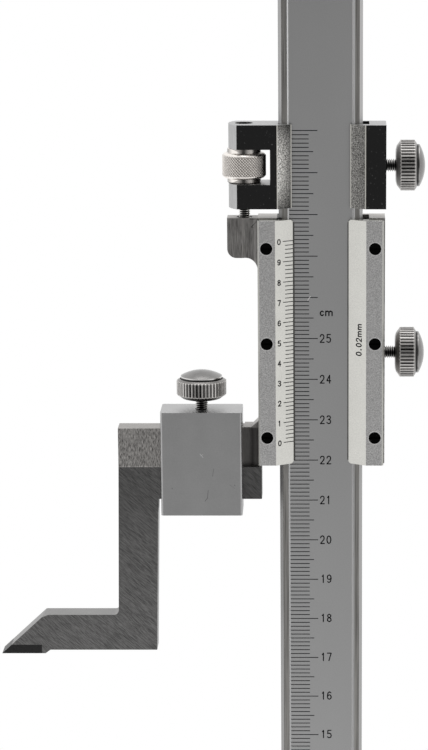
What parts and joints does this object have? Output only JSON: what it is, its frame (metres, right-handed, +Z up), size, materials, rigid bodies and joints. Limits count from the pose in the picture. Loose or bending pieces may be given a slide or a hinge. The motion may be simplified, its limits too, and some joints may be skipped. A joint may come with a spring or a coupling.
{
  "type": "vernier height gauge",
  "caption": "Height gauge: a column on a heavy base carries a vernier slider with fine adjustment, thumbscrew locks and a clamped scriber.",
  "frame": {"origin": "on the base's underside, below the middle of the column", "axes": "+Z up the column, +X to the gauge's right as its scale is read, -Y towards the reader"},
  "size_m": [0.1427, 0.06, 0.3968],
  "materials": {
    "base_steel": "satin enamel with a ground underside",
    "column_steel": "satin chrome, rails brushed lengthwise",
    "plate_chrome": "satin chrome",
    "frame_steel": "ground steel",
    "carriage_black": "polished, blackened front",
    "clamp_steel": "satin chrome",
    "scriber_steel": "hardened and ground",
    "carbide": "ground carbide",
    "knob_steel": "turned and chromed, straight knurl",
    "nut_steel": "diamond knurl",
    "screw_black": "blackened",
    "thread_steel": "turned thread",
    "gib_steel": "spring steel"
  },
  "bodies": {
    "root": {"base": "base_steel", "column": "column_steel", "pressure_plate": "gib_steel", "clamping_screws": "screw_black", "stop_plate": "clamp_steel", "stop_screw": "screw_black"},
    "carriage": {"carriage": "carriage_black", "carriage_gib": "gib_steel"},
    "nut": {"fine_nut": "nut_steel"},
    "slider": {"slider_frame": "frame_steel", "vernier_plate": "plate_chrome", "cover_plate": "plate_chrome", "vernier_plate_screws": "screw_black", "cover_plate_screws": "screw_black", "slider_gib": "gib_steel", "gib_set_screws": "screw_black", "fine_screw": "thread_steel"},
    "clamp": {"scriber_clamp": "clamp_steel"},
    "scriber": {"scriber": "scriber_steel", "carbide_tip": "carbide"},
    "carriage_lock_screw": {"carriage_lock_stud": "screw_black"},
    "carriage_lock_head": {"carriage_lock_knob": "knob_steel", "carriage_lock_cap": "knob_steel"},
    "slider_lock_screw": {"slider_lock_stud": "screw_black"},
    "slider_lock_head": {"slider_lock_knob": "knob_steel", "slider_lock_cap": "knob_steel"},
    "clamp_lock_screw": {"clamp_lock_stud": "screw_black"},
    "clamp_lock_head": {"clamp_lock_knob": "knob_steel", "clamp_lock_cap": "knob_steel"}
  },
  "joints": [
    {"name": "carriage_slide", "type": "slide", "parent": "root", "child": "carriage", "axis": [0, 0, 1], "range_m": [-0.2228, 0.0251]},
    {"name": "slider_fine", "type": "slide", "parent": "carriage", "child": "slider", "axis": [0, 0, 1], "range_m": [-0.002, 0.0023]},
    {"name": "nut_spin", "type": "hinge", "parent": "carriage", "child": "nut", "pos_m": [-0.0182, -0.0005, 0.34528], "axis": [0, 0, 1], "range_deg": [-1656, 1440]},
    {"name": "clamp_slide", "type": "slide", "parent": "slider", "child": "clamp", "axis": [1, 0, 0], "range_m": [-0.01, 0.0004]},
    {"name": "scriber_slide", "type": "slide", "parent": "clamp", "child": "scriber", "axis": [1, 0, 0], "range_m": [-0.012, 0.0004]},
    {"name": "carriage_lock_travel", "type": "slide", "parent": "carriage", "child": "carriage_lock_screw", "axis": [1, 0, 0], "range_m": [0, 0.0005]},
    {"name": "carriage_lock_turn", "type": "hinge", "parent": "carriage_lock_screw", "child": "carriage_lock_head", "pos_m": [0.01555, 0, 0.34513], "axis": [1, 0, 0], "range_deg": [-360, 0]},
    {"name": "slider_lock_travel", "type": "slide", "parent": "slider", "child": "slider_lock_screw", "axis": [1, 0, 0], "range_m": [0, 0.0005]},
    {"name": "slider_lock_turn", "type": "hinge", "parent": "slider_lock_screw", "child": "slider_lock_head", "pos_m": [0.01535, 0, 0.29993], "axis": [1, 0, 0], "range_deg": [-360, 0]},
    {"name": "clamp_lock_travel", "type": "slide", "parent": "clamp", "child": "clamp_lock_screw", "axis": [0, 0, 1], "range_m": [0, 0.0005]},
    {"name": "clamp_lock_turn", "type": "hinge", "parent": "clamp_lock_screw", "child": "clamp_lock_head", "pos_m": [-0.02895, -0.00005, 0.28596], "axis": [0, 0, 1], "range_deg": [-360, 0]}
  ],
  "couplings": [
    {"joint": "nut_spin", "follows": "slider_fine", "rad_per_m": -12566},
    {"joint": "carriage_lock_turn", "follows": "carriage_lock_travel", "rad_per_m": -12566},
    {"joint": "slider_lock_turn", "follows": "slider_lock_travel", "rad_per_m": -12566},
    {"joint": "clamp_lock_turn", "follows": "clamp_lock_travel", "rad_per_m": -12566}
  ]
}
